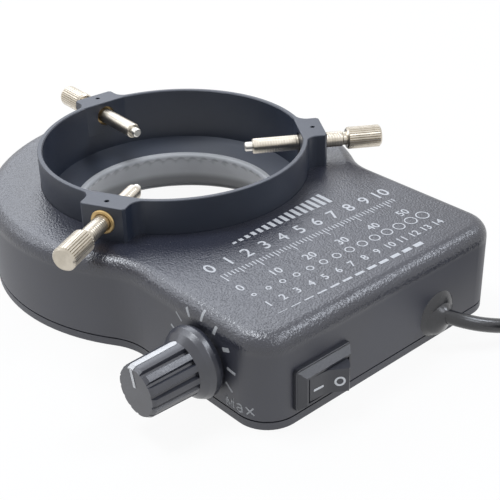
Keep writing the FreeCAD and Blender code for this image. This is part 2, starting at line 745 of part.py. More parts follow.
def thumbscrew(name, reach, out):
    """A knurled screw and the loose tip on its end."""
    headStart = reach - headLength
    shoulder = headStart - shankLength
    bore, boreEnd = spigotRadius + spigotGap, shoulder + spigotLength + spigotEndGap
    undercut = shankRadius - shankBevel
    profile = [(bore, shoulder), (undercut, shoulder), (shankRadius, shoulder + shankBevel),
               (shankRadius, headStart - shankNeck - shankBevel), (undercut, headStart - shankNeck),
               (undercut, headStart), (headRadius - headBevel, headStart), (headRadius, headStart + headBevel),
               (headRadius, reach - endBevel), (headRadius - endBevel, reach), (0, reach), (0, boreEnd),
               (bore, boreEnd)]
    body = turned("Thumbscrew", profile, (0, 0, screwHeight), out)
    doc.recompute()
    knurl = newSketch(body, "XY_Plane", headStart)
    half = math.pi * plain(headRadius) / knurlCount * 0.8
    polygon(knurl, [(headRadius - knurlDepth, 0), (headRadius + 0.3, half), (headRadius + 0.3, -half)])
    polar(body, pocket(body, knurl, headLength, True), knurlCount)
    part(body, "thumbscrew_%s" % name)
    seat = shoulder - runningGap
    end = seat - tipLength
    tip = turned("Tip", [(0, end), (tipRadius - shankBevel, end), (tipRadius, end + shankBevel),
                         (tipRadius, seat), (spigotRadius, seat), (spigotRadius, shoulder + spigotLength),
                         (0, shoulder + spigotLength)], (0, 0, screwHeight), out)
    part(tip, "screw_tip_%s" % name)


# Light

def lightCover():
    """The translucent inner wall with a bead on top, and the window, in one moulding."""
    foot, lip = coverFootRadius, ledgeRadius - coverFit
    crest = beadHeight + beadRadius - coverFit / 2
    body = turned("LightCover", [(beadReach + beadRadius / 2, beadHeight), (beadReach, crest), (lip, crest),
                                 (lip, beadHeight - coverFit), (foot + coverWall, seamHeight),
                                 (windowRadius, seamHeight), (windowRadius, filterDepth),
                                 (foot + coverFlare, filterDepth), (foot, filterDepth + coverFlare),
                                 (foot, seamHeight)])
    doc.recompute()
    section = newSketch(body, "XZ_Plane")
    circle(section, beadRadius, (beadReach, beadHeight))
    bead = body.newObject("PartDesign::Revolution", "Bead")
    bead.Profile = section
    bead.ReferenceAxis = (section, ["V_Axis"])
    return part(body, "light_cover")


def ledBoard():
    """The ring-shaped board and its three screws."""
    disc = cylinder(boardOuter, boardThickness, (0, 0, boardHeight))
    hole = cylinder(boardInner, boardThickness * 3, (0, 0, boardHeight - 1))
    holes = [cylinder(ledScrewShank + fitGap, boardThickness * 3, (x, y, boardHeight - 1))
             for x, y in ledScrews()]
    part(cut(disc, hole, *holes), "led_board")
    base, head, shank = boardHeight, ledScrewHead, ledScrewShank
    low, high = base - ledScrewHeadHeight, base + ledScrewLength
    profile = [(0, low), (head * 0.9, low), (head, base), (shank, base), (shank, high), (0, high + screwPoint)]
    for number, (x, y) in enumerate(ledScrews(), 1):
        part(turned("BoardScrew", profile, (x, y, 0)), "led_board_screw_%d" % number)


def ledScrews():
    """The places of the board's screws, outside the rows of LEDs."""
    reach = plain(ledScrewReach)
    return [(reach * x, reach * y) for x, y, _ in map(radial, (-150, -30, 90))]


def ledRow(name, reach):
    """One row of LEDs that point down from the board."""
    step, end = boardHeight - ledFlangeHeight, boardHeight - ledLength
    dome = [(ledRadius * math.cos(turn), end + ledRadius * (1 - math.sin(turn)))
            for turn in map(math.radians, (0, 30, 60))]
    lens = turned("Led", [(0, boardHeight), (ledRadius + ledFlange, boardHeight), (ledRadius + ledFlange, step),
                          (ledRadius, step), *dome, (0, end)])
    doc.recompute()
    row = []
    for number in range(ledCount):
        turn = Rotation(Vector(0, 0, 1), 360.0 * (number + 0.5) / ledCount)
        row.append(lens.Shape.translated(turn.multVec(Vector(plain(reach), 0, 0))))
    feature(Part.makeCompound(row), "led_row_%s" % name)


# Dimmer

def dimmerKnob():
    """The fluted knob, made along its own axis from the housing outwards."""
    skirt = [(skirtEdgeRadius, skirtEdge), (skirtRadius, skirtRim), (skirtRadius, skirtFoot),
             (skirtBackRadius, knobBack), (knobHollow, knobBack), (knobHollow, hollowEnd),
             (shaftRadius, hollowEnd), (shaftRadius, knobEnd - shaftCover), (0, knobEnd - shaftCover)]
    body = turned("Knob", knobGrip() + skirt)
    roundEdges(body, skirtRounding, onSkirt)
    doc.recompute()
    groove = newSketch(body, "XY_Plane", ribEnd)
    polygon(groove, grooveCorners(knobTipRadius - grooveDepth, knobBaseRadius + grooveTop))
    polar(body, pocket(body, groove, knobEnd - ribEnd, True), grooveCount, 360 - 2 * firstGroove)
    place(body, (0, knobY, knobZ), knobTurn())
    return part(cut(body, pointerBar()), "dimmer_knob")


def onSkirt(edge):
    """Whether an edge is one of the three circles round the skirt."""
    heights = [plain(v) for v in (skirtEdge, skirtRim, skirtFoot)]
    circular = isinstance(edge.Curve, Part.Circle)
    return circular and any(abs(edge.Curve.Center.z - height) < 1e-6 for height in heights)


def knobGrip(rise=0):
    """The grip's profile from the end face to the skirt, with nothing cut into it."""
    return [(0, knobEnd + rise), (knobFaceRadius + rise, knobEnd + rise),
            (knobTipRadius + rise, knobEnd - knobRounding), (knobBaseRadius + rise, ribEnd)]


def grooveCorners(floor, top):
    """The first groove's section, turned away from the sketch's X axis, where the pointer is."""
    (ux, uy, _), (vx, vy, _) = radial(firstGroove), radial(firstGroove + 90)
    low, high = grooveFloor / 2, grooveWidth / 2
    corners = [(floor, -low), (top, -high), (top, high), (floor, low)]
    return [(reach * ux + across * vx, reach * uy + across * vy) for reach, across in corners]


def knobTurn():
    """Lays the knob's axis along -X and carries its sketch's X axis to where the pointer points at rest."""
    return Rotation(Vector(1, 0, 0), 90.0 - pointerTurn) * Rotation(Vector(0, 1, 0), -90.0)


def pointerBar():
    """The pointer's bar: broad with a round end along the grip, and a narrow line over the end face."""
    deep = pointerDepth * 3
    low = knobTipRadius - pointerDepth
    roundAt = ribEnd + pointerWidth / 2
    long = knobEnd + pointerRise * 2 - roundAt
    along = box((deep, pointerWidth, long), (low + deep / 2, 0, roundAt + long / 2))
    roundEnd = cylinder(pointerWidth / 2, deep, (low, 0, roundAt), (1, 0, 0))
    reach = knobTipRadius - pointerLineStart
    across = box((reach, pointerLine, deep),
                 (pointerLineStart + reach / 2, 0, knobEnd - pointerDepth + deep / 2))
    return place(fuse(along, roundEnd, across), (0, knobY, knobZ), knobTurn())


def dimmer():
    """The knob with its pointer, and the potentiometer with its washer and nut."""
    dimmerKnob()
    pointer = doc.addObject("Part::Common", "Common")
    envelope = turned("Envelope", knobGrip(pointerRise) + [(0, ribEnd)])
    place(envelope, (0, knobY, knobZ), knobTurn())
    pointer.Base, pointer.Tool = pointerBar(), envelope
    part(pointer, "knob_pointer")
    face = halfWidth - wall
    inward, outward = (1, 0, 0), (-1, 0, 0)
    start = -face + shaftInside
    part(cylinder(shaftRadius, knobEnd - shaftCover + start, (start, knobY, knobZ), outward), "pot_shaft")
    can = cylinder(potRadius, potDepth, (-face + pilotGap, knobY, knobZ), inward)
    cavity = cylinder(shaftRadius + runningGap, shaftInside + fitGap, (-face, knobY, knobZ), inward)
    part(cut(can, cavity), "pot_body")
    stack = wall + washerThickness + nutThickness
    sleeve = cylinder(bushingRadius, stack + fitGap, (-face, knobY, knobZ), outward)
    hole = cylinder(shaftRadius + runningGap, wall * 3, (-face + wall / 4, knobY, knobZ), outward)
    part(cut(sleeve, hole), "pot_bushing")
    washer = cylinder(washerRadius, washerThickness, (-halfWidth, knobY, knobZ), outward)
    washerHole = cylinder(bushingRadius, wall, (-halfWidth + wall / 4, knobY, knobZ), outward)
    part(cut(washer, washerHole), "pot_washer")
    nut = doc.addObject("Part::Prism", "Nut")
    nut.Polygon = 6
    bind(nut, "Circumradius", nutAcross * (1 / math.sqrt(3)))
    bind(nut, "Height", nutThickness)
    place(nut, (-halfWidth - washerThickness, knobY, knobZ), Rotation(Vector(0, 0, 1), Vector(*outward)))
    nutHole = cylinder(bushingRadius, wall * 2, (-halfWidth + wall / 4, knobY, knobZ), outward)
    part(cut(nut, nutHole), "pot_nut")
    legX = -face + pilotGap + potDepth + potLeg[0] / 2
    legs = [box(potLeg, (legX, knobY + side * potLegSpread, knobZ + potLegRise)) for side in (-1, 0, 1)]
    part(group(*legs), "pot_terminals")


# Switch

def switchFrame():
    """The sloped bezel and the body behind it, in one moulding."""
    faceY = -frontReach
    body = newBody("Frame")
    base = newSketch(body, "XZ_Plane", frontReach)
    rectangle(base, bezelWidth, bezelHeight)
    pad(body, base, bezelEdge)
    roundEdges(body, bezelCorner, lambda edge: abs(edge.BoundBox.YLength - plain(bezelEdge)) < 1e-6)
    roundEdges(body, bezelRounding, lambda edge: edge.BoundBox.YMax < -plain(frontReach + bezelEdge) + 1e-6)
    loft = body.newObject("PartDesign::AdditiveLoft", "Slope")
    wide = newSketch(body, "XZ_Plane", frontReach + bezelEdge)
    rectangle(wide, bezelWidth - 4 * bezelRounding, bezelHeight - 4 * bezelRounding)
    narrow = newSketch(body, "XZ_Plane", frontReach + bezelRise)
    rectangle(narrow, openingWidth + 2 * openingLip, openingHeight + 2 * openingLip)
    loft.Profile = wide
    loft.Sections = [(narrow, [""])]
    loft.Ruled = True
    doc.recompute()
    back = box((switchBodyWidth, switchBodyDepth, switchBodyHeight),
               (switchX, faceY + switchBodyDepth / 2, switchZ))
    well = box((openingWidth, wellDepth, openingHeight),
               (switchX, faceY + wellDepth / 2 - bezelRise - openingLip, switchZ))
    return part(cut(fuse(body, back), well), "switch_frame")


def rectangle(sketch, width, height):
    """A rectangle about the switch's centre, in the plane of the front face."""
    left, right = switchX - width / 2, switchX + width / 2
    low, high = switchZ - height / 2, switchZ + height / 2
    polygon(sketch, [(left, low), (right, low), (right, high), (left, high)])


def rocker():
    """A half-round rocker with a shallow valley, tipped towards the I end."""
    body = newBody("Rocker")
    disc = newSketch(body)
    circle(disc, rockerRadius)
    pad(body, disc, rockerHeight)
    doc.recompute()
    rise = math.tan(math.radians(rockerSlope))
    side = rockerRadius + 1
    valley = newSketch(body)
    polygon(valley, [(0, -rockerValley), (-side, -rockerValley - side * rise), (-side, -side * 2),
                     (side, -side * 2), (side, -rockerValley - side * rise)])
    pocket(body, valley, rockerHeight, True)
    underside = newSketch(body)
    polygon(underside, [(-side, rockerBack), (side, rockerBack), (side, side), (-side, side)])
    pocket(body, underside, rockerHeight, True)
    centre = Vector(0, -plain(rockerValley), 0)
    roundEdges(body, rockerFillet, lambda edge: len(edge.Vertexes) == 2 and all(
        math.hypot(v.X - centre.x, v.Y - centre.y) < 1e-3 for v in edge.Vertexes))
    place(body, (switchX, -rockerPivot, switchZ - rockerHeight / 2), Rotation(Vector(0, 0, 1), -rockerTilt))
    return part(body, "rocker")


def switchTerminals():
    """Two flat blades behind the switch."""
    backY = -frontReach + switchBodyDepth
    blades = [box(blade, (switchX + side * bladeSpread, backY + blade[1] / 2, switchZ)) for side in (-1, 1)]
    return part(group(*blades), "switch_terminals")


# Driver electronics, hung from the deck

def boardScrews():
    """The places of the driver board's two screws, at opposite corners."""
    across, along = driverWidth / 2 - driverScrewAcross, driverDepth / 2 - driverScrewAlong
    return [(driverX + side * across, driverY + side * along) for side in (-1, 1)]


def driver():
    """The driver board with the large components on its lower face."""
    under = driverTop - boardThickness
    board = box((driverWidth, driverDepth, boardThickness), (driverX, driverY, driverTop - boardThickness / 2))
    holes = [cylinder(driverScrewShank + screwGap, boardThickness * 3, (x, y, under - 1))
             for x, y in boardScrews()]
    part(cut(board, *holes), "driver_board")
    head, shank = driverScrewHead, driverScrewShank
    low, high = under - driverScrewHeadHeight, under + driverScrewLength
    profile = [(0, low), (head, low), (head, under), (shank, under), (shank, high), (0, high + screwPoint)]
    part(group(*[turned("DriverScrew", profile, (x, y, 0)) for x, y in boardScrews()]), "driver_screws")
    part(cylinder(3.6, 4.6, (driverX + 8, driverY + 2.2, under), (0, 0, -1)), "inductor")
    part(cylinder(3.1, 7.5, (driverX - 8.5, driverY - 2.6, under), (0, 0, -1)), "capacitor_input")
    part(cylinder(2.5, 6.0, (driverX - 2.2, driverY + 3.6, under), (0, 0, -1)), "capacitor_output")
    part(box((5.0, 4.0, 1.5), (driverX + 0.8, driverY - 3.4, under - 0.75)), "driver_chip")
    part(box((9.0, 3.2, 6.0), (driverX + 9, driverY - 4.6, under - 3.0)), "power_transistor")
    part(box((7.5, 4.2, 4.2), (driverX - 11.2, driverY + 4.4, under - 2.1)), "wire_connector")


def innerLeads():
    """Lead wires inside the housing, in pairs."""
    top = plain(driverTop)
    reach = plain(driverY)
    pair = []
    for x in (2.0, 4.2):
        pair.append(tube([(x, reach + 5, top), (x, reach + 5, top + 2.4), (x, reach + 11, top + 3.0),
                          (x, -41.5, top + 1.6), (x, -41.5, plain(boardHeight + boardThickness))],
                         ledLeadRadius, "led lead", 0.4))
    feature(Part.makeCompound(pair), "led_leads")
    back = plain(-frontReach + switchBodyDepth + blade[1])
    sx, sz = plain(switchX), plain(switchZ)
    feed = [(sx + 3.6, back, sz), (sx + 3.6, back + 3.5, sz), (sx + 9, back + 5.4, sz - 1.2),
            (sx + 17, back + 1.0, sz - 2.4), (sx + 25, back - 9.0, sz - 3.0),
            (8.0, -69.3, 5.6), (12.5, -69.3, 5.6)]
    switched = [(sx - 3.6, back, sz), (sx - 3.6, back + 4.5, sz), (sx + 3, back + 8, sz - 0.6),
                (sx + 12, back + 8.4, sz - 1.6), (sx + 20.4, back + 3.4, sz - 1.2),
                (sx + 20.4, back + 3.4, sz + 1.75)]
    feeds = [tube(feed, powerLeadRadius, "feed", 0.4), tube(switched, powerLeadRadius, "switched lead", 0.4)]
    feature(Part.makeCompound(feeds), "power_leads")


# Cord

# The cord's route from the gland to the coil, and from the coil to the plug
cordRoute = [(15.0, -75.6, 7.2), (16.25, -79.2, 6.95), (18.5, -82.3, 6.2), (21.7, -84.7, 5.15),
             (26.2, -86.8, 3.8), (33.0, -88.6, 2.6), (42.0, -90.1, 1.85), (50.8, -91.1, 1.8)]
tailRoute = [(70.5, -117.3, 1.8), (69.0, -126.5, 1.75), (64.0, -135.0, 1.9),
             (56.5, -141.0, 3.7), (47.5, -143.6, 4.85)]


def grommet():
    """A domed gland: cap outside, neck through the wall, lip inside."""
    bulge, radius = plain(grommetBulge), plain(grommetRadius)
    sphere = (radius ** 2 + bulge ** 2) / (2 * bulge)
    ball = doc.addObject("Part::Sphere", "Ball")
    bind(ball, "Radius", sphere)
    place(ball, (grommetX, -frontReach + (sphere - bulge), grommetZ))
    cap = doc.addObject("Part::Common", "Cap")
    cap.Base = ball
    cap.Tool = cylinder(grommetRadius, grommetBulge + 1, (grommetX, -frontReach, grommetZ), (0, -1, 0))
    neck = cylinder(grommetNeck, wall + 2 * fitGap, (grommetX, -frontReach - fitGap, grommetZ), (0, 1, 0))
    lip = cone(grommetLipRadius, grommetLipEnd, grommetLip, (grommetX, -frontReach + wall, grommetZ), (0, 1, 0))
    return part(fuse(cap, neck, lip), "cable_grommet")


def cord():
    """The cord's two straight-run tubes, the coil between them and the tie round the coil."""
    lead = tube(cordRoute, cordRadius, "cord lead")
    feature(lead, "cord_lead")
    feature(tube(tailRoute, cordRadius, "cord tail"), "cord_tail")
    half = coilSection / 2
    bevel = coilBevel
    inner, outer = coilMean - half, coilMean + half
    low, high = coilBottom, coilBottom + coilSection
    section = [(inner + bevel, low), (outer - bevel, low), (outer, low + bevel), (outer, high - bevel),
               (outer - bevel, high), (inner + bevel, high), (inner, high - bevel), (inner, low + bevel)]
    coil = turned("Coil", section, (coilX, coilY, 0))
    part(coil, "cord_coil")
    size, gap = coilSection + tieGap, tieThickness
    band = box((size + 2 * gap, tieWidth, size + 2 * gap), (0, 0, 0))
    hole = box((size, tieWidth * 2, size), (0, 0, 0))
    tie = cut(band, hole)
    ux, uy, _ = radial(tieAngle)
    place(tie, (coilX + coilMean * ux, coilY + coilMean * uy, coilBottom + half),
          Rotation(Vector(0, 0, 1), tieAngle))
    part(tie, "coil_tie")
    tubeLength = roundedPath(cordRoute)[0].Length + roundedPath(tailRoute)[0].Length
    turns = (cordLength - tubeLength) / (2 * math.pi * plain(coilMean))
    print("cord: %.0f mm in all, %.1f turns in the coil" % (cordLength, turns))


def plug():
    """A barrel plug with its strain relief, lying level beside the coil."""
    before, start = [Vector(*point) for point in tailRoute[-2:]]
    along = Vector(start.x - before.x, start.y - before.y, 0).normalize()
    away = tuple(along)
    origin = start - along * reliefOverlap
    ribs = []
    for number in range(ribCount):
        at = origin + along * (ribStart + ribPitch * number)
        ribs.append(cylinder(ribRadius + ribGrowth * number, ribThickness, tuple(at), away))
    core = cone(reliefRadius, reliefRadius + reliefFlare, reliefLength, tuple(origin), away)
    part(fuse(core, *ribs), "plug_relief")
    bodyStart = origin + along * plain(reliefLength)
    body = turned("Plug", [(0, 0), (plugRadius - plugShoulder, 0), (plugRadius, plugShoulder),
                           (plugRadius, plugLength - plugBevel), (plugRadius - plugBevel, plugLength),
                           (0, plugLength)], tuple(bodyStart), away)
    part(body, "plug_body")
    barrelStart = bodyStart + along * plain(plugLength)
    barrel = cylinder(barrelRadius, barrelLength, tuple(barrelStart), away)
    bore = cylinder(barrelBore, barrelLength, tuple(barrelStart + along * boreFloor), away)
    part(cut(barrel, bore), "plug_barrel")


def cableClamp():
    """The clip that stops the cord from pulling out."""
    block = box(clampSize, (grommetX, -frontReach + wall + grommetLip + clampSetback, grommetZ))
    hole = cylinder(cordRadius, 9.0, (grommetX, -frontReach + wall, grommetZ), (0, 1, 0))
    part(cut(block, hole), "cable_clamp")


housing()
bottomCover()
coverScrews()
mountingCollar()
collarHardware()
lightCover()
ledBoard()
for rowName, rowReach in ledRows.items():
    ledRow(rowName, rowReach)
dimmer()
switchFrame()
rocker()
switchTerminals()
driver()
innerLeads()
grommet()
cord()
plug()
cableClamp()
doc.recompute()

for item in doc.Objects:
    assert not {"Invalid", "Error"} & set(item.State), "%s is %s" % (item.Label, item.State)
for item in parts:
    assert not item.Shape.isNull() and item.Shape.isValid(), "%s has a bad shape" % item.Label
    assert item.Shape.Solids, "%s has no solid" % item.Label
os.makedirs("parts", exist_ok=True)
for item in parts:
    item.Shape.exportStep("parts/%s.step" % item.Label)
print("%d sub-parts written" % len(parts))
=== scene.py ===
import bpy
import bmesh
import json
import math
from mathutils import Matrix, Vector


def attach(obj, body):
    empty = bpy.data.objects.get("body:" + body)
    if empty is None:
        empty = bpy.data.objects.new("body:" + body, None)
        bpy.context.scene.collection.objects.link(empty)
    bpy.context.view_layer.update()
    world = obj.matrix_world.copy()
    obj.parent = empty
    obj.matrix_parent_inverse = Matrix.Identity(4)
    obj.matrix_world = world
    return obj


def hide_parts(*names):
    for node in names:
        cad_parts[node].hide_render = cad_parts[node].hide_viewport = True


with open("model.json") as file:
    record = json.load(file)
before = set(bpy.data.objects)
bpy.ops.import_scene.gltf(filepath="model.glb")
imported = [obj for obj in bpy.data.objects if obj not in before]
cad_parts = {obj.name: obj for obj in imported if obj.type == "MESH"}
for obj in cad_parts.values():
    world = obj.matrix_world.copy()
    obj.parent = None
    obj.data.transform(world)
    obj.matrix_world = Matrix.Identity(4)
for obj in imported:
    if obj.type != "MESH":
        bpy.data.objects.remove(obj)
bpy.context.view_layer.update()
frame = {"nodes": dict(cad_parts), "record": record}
nodes = frame["nodes"]
mm = 0.001
print("frame loaded:", len(nodes), "nodes")


# shader maths

class Signal:
    # a node socket that takes part in arithmetic
    def __init__(self, shading, socket):
        self.shading = shading
        self.socket = socket

    def maths(self, operation, *values):
        return self.shading.node("ShaderNodeMath", {"operation": operation}, *values)

    def __add__(self, other):
        return self.maths("ADD", self, other)

    def __radd__(self, other):
        return self.maths("ADD", other, self)

    def __sub__(self, other):
        return self.maths("SUBTRACT", self, other)

    def __rsub__(self, other):
        return self.maths("SUBTRACT", other, self)

    def __mul__(self, other):
        return self.maths("MULTIPLY", self, other)

    def __rmul__(self, other):
        return self.maths("MULTIPLY", other, self)

    def larger(self, other):
        return self.maths("MAXIMUM", self, other)

    def over(self, low, high):
        # 0 below low, 1 above high, smooth between
        settings = {"interpolation_type": "SMOOTHSTEP"}
        return self.shading.node("ShaderNodeMapRange", settings, self, low, high, 0.0, 1.0)


class Shading:
    # a node tree and the ways of adding to it
    def __init__(self, tree):
        self.nodes = tree.nodes
        self.links = tree.links

    def title(self, name):
        # baseColor -> Base Color
        words = "".join(" " + c if c.isupper() else c for c in name)
        return " ".join(w[0].upper() + w[1:] for w in words.split()).replace("Ior", "IOR")

    def node(self, kind, settings, *values, out=0, **named):
        made = self.nodes.new(kind)
        for key, value in settings.items():
            setattr(made, key, value)
        for place, value in list(enumerate(values)) + [(self.title(k), v) for k, v in named.items()]:
            if isinstance(value, Signal):
                self.links.new(value.socket, made.inputs[place])
            else:
                made.inputs[place].default_value = value
        return Signal(self, made.outputs[out])

    def parts(self, vector):
        # the three numbers of a vector
        split = self.node("ShaderNodeSeparateXYZ", {}, vector).socket.node
        return [Signal(self, output) for output in split.outputs]

    def noise(self, place, scale, detail=3.0, roughness=0.5):
        settings = {"noise_dimensions": "3D"}
        return self.node("ShaderNodeTexNoise", settings, vector=place, scale=scale, detail=detail,
                         roughness=roughness)

    def cells(self, place, scale, feature="SMOOTH_F1"):
        settings = {"feature": feature}
        return self.node("ShaderNodeTexVoronoi", settings, vector=place, scale=scale)

    def mix(self, factor, first, second):
        made = self.nodes.new("ShaderNodeMix")
        made.data_type = "RGBA"
        for place, value in ((0, factor), (6, first), (7, second)):
            if isinstance(value, Signal):
                self.links.new(value.socket, made.inputs[place])
            else:
                made.inputs[place].default_value = value if place == 0 else (*value, 1.0)
        return Signal(self, made.outputs[2])

    def seen(self):
        # 1 for rays that show the background: straight to the eye, in a reflection or through glass
        ray = self.nodes.new("ShaderNodeLightPath").outputs
        kinds = ("Is Camera Ray", "Is Glossy Ray", "Is Transmission Ray")
        camera, glossy, through = [Signal(self, ray[kind]) for kind in kinds]
        return camera.larger(glossy.larger(through))


class Finish(Shading):
    # one material
    def __init__(self, name, **uniform):
        self.material = bpy.data.materials.new(name)
        self.material.use_nodes = True
        super().__init__(self.material.node_tree)
        self.shader = self.nodes["Principled BSDF"]
        for socket, value in uniform.items():
            self.shader.inputs[self.title(socket)].default_value = value

    def place(self):
        # position in the part's own frame, in metres
        return self.node("ShaderNodeTexCoord", {}, out="Object")

    def feed(self, socket, signal):
        self.links.new(signal.socket, self.shader.inputs[self.title(socket)])

    def bump(self, height, distance, strength):
        made = self.node("ShaderNodeBump", {}, strength=strength, distance=distance, height=height)
        self.feed("normal", made)


# finishes: heights and depths in metres, a noise's scale in waves to the metre,
# "dulls" is what each noise adds to the roughness and "relief" the strength of the bump

patches = (0.3, 0.7)  # where a noise turns from the first colour to the second

housingLook = {
    "colours": ((0.017, 0.019, 0.032), (0.022, 0.025, 0.041)),
    "specular": 1.0,
    "roughness": 0.40,
    "deckSmoother": 0.19,
    "deck": (0.0178, 0.0196),  # the heights between which the satin side turns into the pebbled deck
    "pebbles": {"scale": 2300.0, "share": 0.85, "wander": 1500.0, "shift": 0.0005},
    "grain": {"scale": 5200.0, "share": 0.10, "deckShare": 0.15},
    "clouds": 45.0,
    "dulls": (0.10, 0.06),
    "depth": 0.00012,
    "relief": 1.0,
}


def pebbledPlastic():
    # moulded black plastic: fine leather-like pebble on the deck and its rounded edges, satin sides
    look, pebbles, grains = housingLook, housingLook["pebbles"], housingLook["grain"]
    finish = Finish("pebbledPlastic", specularIorLevel=look["specular"])
    place = finish.place()
    height = finish.parts(place)[2]
    upper = height.over(*look["deck"])
    warp = finish.noise(place, pebbles["wander"], detail=1.0)
    shift = (pebbles["shift"],) * 3
    moved = finish.node("ShaderNodeVectorMath", {"operation": "MULTIPLY_ADD"}, warp, shift, place)
    pebble = finish.cells(moved, pebbles["scale"])
    grain = finish.noise(place, grains["scale"], detail=2.0)
    fine = grain * (grains["share"] + upper * grains["deckShare"])
    finish.bump((1.0 - pebble) * pebbles["share"] * upper + fine, look["depth"], look["relief"])
    cloud = finish.noise(place, look["clouds"], detail=5.0)
    finish.feed("baseColor", finish.mix(cloud.over(*patches), *look["colours"]))
    byGrain, byCloud = look["dulls"]
    dull = look["roughness"] + grain * byGrain + cloud * byCloud
    finish.feed("roughness", dull - upper * look["deckSmoother"])
    return finish.material


collarLook = {
    "colours": ((0.013, 0.019, 0.036), (0.018, 0.026, 0.046)),
    "specular": 0.7,
    "roughness": 0.34,
    "clouds": 60.0,
    "specks": 1800.0,
    "dulls": (0.10, 0.06),
    "depth": 0.00002,
    "relief": 0.6,
}


def collarPlastic():
    # smooth satin moulding with a blue cast
    look = collarLook
    finish = Finish("collarPlastic", specularIorLevel=look["specular"])
    place = finish.place()
    cloud = finish.noise(place, look["clouds"], detail=5.0)
    specks = finish.noise(place, look["specks"], detail=2.0)
    finish.feed("baseColor", finish.mix(cloud.over(*patches), *look["colours"]))
    byCloud, bySpecks = look["dulls"]
    finish.feed("roughness", look["roughness"] + cloud * byCloud + specks * bySpecks)
    finish.bump(specks, look["depth"], look["relief"])
    return finish.material


metalLook = {
    "tarnish": 260.0,
    "tarnished": (0.38, 0.75),
    "scratches": 3500.0,
    "dulls": (0.12, 0.08),
    "depth": 0.00001,
    "relief": 0.5,
}


def platedMetal(name, colour, dark, roughness):
    # bright metal with fine scratches and a little tarnish
    finish = Finish(name, metallic=1.0)
    place = finish.place()
    tarnish = finish.noise(place, metalLook["tarnish"], detail=6.0, roughness=0.6)
    scratches = finish.noise(place, metalLook["scratches"], detail=3.0)
    finish.feed("baseColor", finish.mix(tarnish.over(*metalLook["tarnished"]), colour, dark))
    byTarnish, byScratches = metalLook["dulls"]
    finish.feed("roughness", roughness + tarnish * byTarnish + scratches * byScratches)
    finish.bump(scratches, metalLook["depth"], metalLook["relief"])
    return finish.material


satinLook = {"grain": 2600.0, "clouds": 140.0, "dulls": 0.12, "depth": 0.00002, "relief": 0.6}


def satinPlastic(name, low, high, roughness, specular):
    # smooth moulding with a fine grain, for the knob and the switch
    finish = Finish(name, specularIorLevel=specular)
    place = finish.place()
    grain = finish.noise(place, satinLook["grain"], detail=3.0)
    cloud = finish.noise(place, satinLook["clouds"], detail=4.0)
    finish.feed("baseColor", finish.mix(cloud.over(*patches), low, high))
    finish.feed("roughness", roughness + grain * satinLook["dulls"])
    finish.bump(grain, satinLook["depth"], satinLook["relief"])
    return finish.material


def grainyColour(name, colour, roughness, scale, shade, limits, dulls=0.15):
    # one colour with a darker shade of it in fine grains
    finish = Finish(name)
    grain = finish.noise(finish.place(), scale, detail=3.0)
    dark = tuple(c * shade for c in colour)
    finish.feed("baseColor", finish.mix(grain.over(*limits), colour, dark))
    finish.feed("roughness", roughness + grain * dulls)
    return finish.material


def paint(name, colour, roughness):
    # printed or moulded pale colour, slightly uneven
    return grainyColour(name, colour, roughness, scale=2500.0, shade=0.86, limits=(0.35, 0.75))


def plainPlastic(name, colour, roughness):
    # the small parts inside
    return grainyColour(name, colour, roughness, scale=1600.0, shade=0.8, limits=(0.35, 0.7))


rubberLook = {
    "colours": ((0.011, 0.012, 0.016), (0.018, 0.019, 0.024)),
    "specular": 0.78,
    "roughness": 0.20,
    "grain": 1400.0,
    "clouds": 90.0,
    "dulls": 0.10,
    "depth": 0.00003,
    "relief": 0.5,
}


def softRubber():
    # the cord's sheath and the mouldings on it
    look = rubberLook
    finish = Finish("softRubber", specularIorLevel=look["specular"])
    place = finish.place()
    grain = finish.noise(place, look["grain"], detail=3.0)
    cloud = finish.noise(place, look["clouds"], detail=3.0)
    finish.feed("baseColor", finish.mix(cloud.over(*patches), *look["colours"]))
    finish.feed("roughness", look["roughness"] + grain * look["dulls"])
    finish.bump(grain, look["depth"], look["relief"])
    return finish.material


coverLook = {
    "colours": ((0.46, 0.465, 0.475), (0.53, 0.535, 0.545)),
    "specular": 0.4,
    "roughness": 0.40,
    "milk": {"weight": 0.2, "radius": 0.002},
    "clouds": 70.0,
    "grain": 2400.0,
    "dulls": 0.12,
    "foot": {"colour": (0.13, 0.132, 0.138), "share": 0.75, "heights": (0.0045, 0.0075)},
    # painted shade: darker arches under the bead where the LEDs behind the cover shade it
    "arches": {"count": 48, "colour": (0.20, 0.205, 0.215), "share": 0.55, "top": 0.0146, "drop": 0.0014,
               "edge": (0.0, 0.0006), "fade": (0.0008, 0.0030)},
}


def frostedDiffuser():
    # milky moulding: greyer towards the foot, with painted shade of the LEDs in arches under the bead
    look, milk, foot, arches = coverLook, coverLook["milk"], coverLook["foot"], coverLook["arches"]
    finish = Finish("frostedDiffuser", specularIorLevel=look["specular"], subsurfaceWeight=milk["weight"],
                    subsurfaceRadius=(milk["radius"],) * 3)
    place = finish.place()
    x, y, z = finish.parts(place)
    cloud = finish.noise(place, look["clouds"], detail=4.0)
    grain = finish.noise(place, look["grain"], detail=2.0)
    turn = y.maths("ARCTAN2", y, x) * (arches["count"] / math.tau)
    across = (turn - turn.maths("FLOOR", turn) - 0.5) * 2.0
    below = arches["top"] - across * across * arches["drop"] - z
    # painted shade: the arch mask darkens the cover where the LEDs behind it cast shade
    outline = below.over(*arches["edge"]) * (1.0 - below.over(*arches["fade"]))
    plain = finish.mix(cloud.over(*patches), *look["colours"])
    low = 1.0 - z.over(*foot["heights"])
    shaded = finish.mix(low * foot["share"], plain, foot["colour"])
    finish.feed("baseColor", finish.mix(outline * arches["share"], shaded, arches["colour"]))
    finish.feed("roughness", look["roughness"] + grain * look["dulls"])
    return finish.material


boardLook = {
    "tracks": 420.0,
    "edge": (0.45, 0.5),
    "grain": 900.0,
    "roughness": 0.35,
    "dulls": 0.15,
    "depth": 0.00003,
    "relief": 0.5,
}


